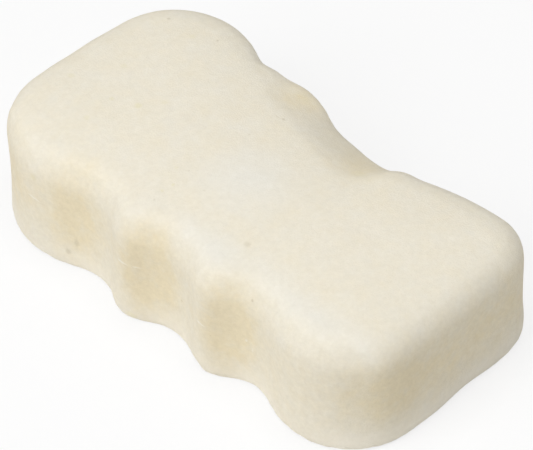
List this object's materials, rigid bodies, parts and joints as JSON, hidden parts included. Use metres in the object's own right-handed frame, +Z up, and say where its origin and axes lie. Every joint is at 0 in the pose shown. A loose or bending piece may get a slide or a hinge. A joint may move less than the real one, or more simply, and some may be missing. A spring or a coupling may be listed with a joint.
{
  "type": "soap-filled body sponge",
  "caption": "Hand-sized block of soft foam with a waist, finger hollows along one side, a thumb hollow on the other and a rolled top rim, for washing the body.",
  "frame": {"origin": "middle of the bottom of the sponge's box, on the surface that it lies on", "axes": "+X along the length towards the narrow end, -Y towards the finger side, +Y towards the thumb side, +Z up through the thickness"},
  "size_m": [0.1471, 0.0799, 0.038],
  "materials": {
    "soap_foam": "matt, fine-celled polyurethane foam soaked with dried soap, cream, with faint yellower patches"
  },
  "bodies": {
    "root": {"sponge_body": "soap_foam"}
  },
  "joints": []
}
